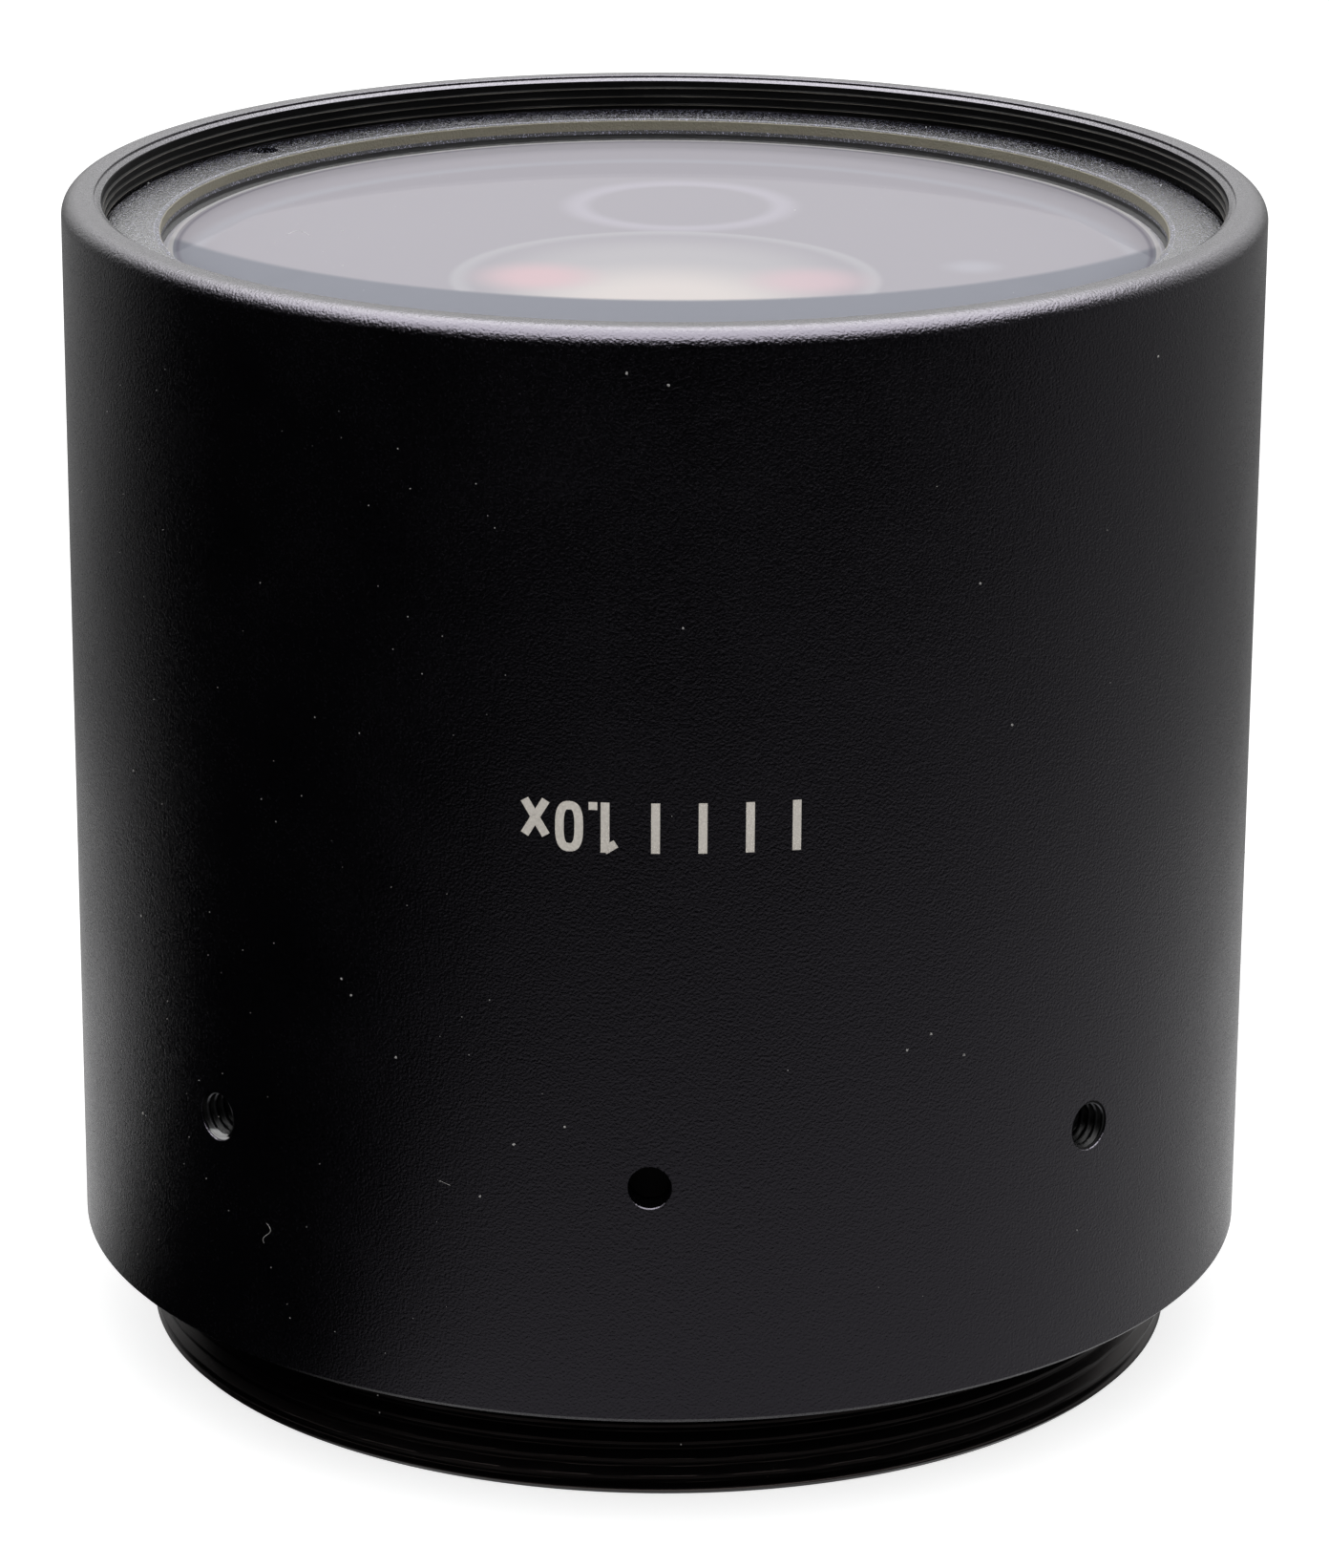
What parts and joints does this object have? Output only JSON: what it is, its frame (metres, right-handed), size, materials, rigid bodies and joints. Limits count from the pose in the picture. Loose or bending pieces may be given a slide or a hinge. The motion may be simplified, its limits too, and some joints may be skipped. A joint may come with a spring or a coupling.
{
  "type": "microscope objective lens",
  "caption": "Wide plan objective for a stereo microscope: matte black sleeve, recessed flat front lens, internal lens groups and a male mounting thread.",
  "frame": {"origin": "centre of the end face of the mounting thread, on which the lens stands", "axes": "+Z along the optical axis from the mounting thread to the front lens; -Y through the plain radial hole"},
  "size_m": [0.066, 0.066, 0.065],
  "materials": {
    "sleeve_matte_black": "fine-blasted matte black anodised",
    "barrel_gloss_black": "turned, gloss black anodised",
    "ring_satin_black": "grained satin black anodised",
    "inner_flat_black": "turned, dull black anodised",
    "shim_brass": "rolled strip",
    "seal_black": "thin pressed sheet",
    "crown_glass": "polished and coated, ground edge",
    "flint_glass": "polished and coated, ground edge",
    "screw_black_steel": "black oxide",
    "pin_steel": "ground, black oxide"
  },
  "bodies": {
    "root": {"outer_sleeve": "sleeve_matte_black", "lens_barrel": "barrel_gloss_black", "parfocal_shim": "shim_brass", "front_retaining_ring": "ring_satin_black", "front_seal": "seal_black", "front_crown": "crown_glass", "front_flint": "flint_glass", "front_spacer": "inner_flat_black", "middle_lens": "crown_glass", "middle_spacer": "inner_flat_black", "glare_stop": "inner_flat_black", "rear_cell": "inner_flat_black", "relay_crown": "crown_glass", "relay_flint": "flint_glass", "rear_spacer": "inner_flat_black", "rear_lens": "crown_glass", "rear_seal": "seal_black", "rear_retaining_ring": "inner_flat_black", "cell_lock_ring": "inner_flat_black", "set_screws": "screw_black_steel", "locating_pin": "pin_steel"}
  },
  "joints": []
}
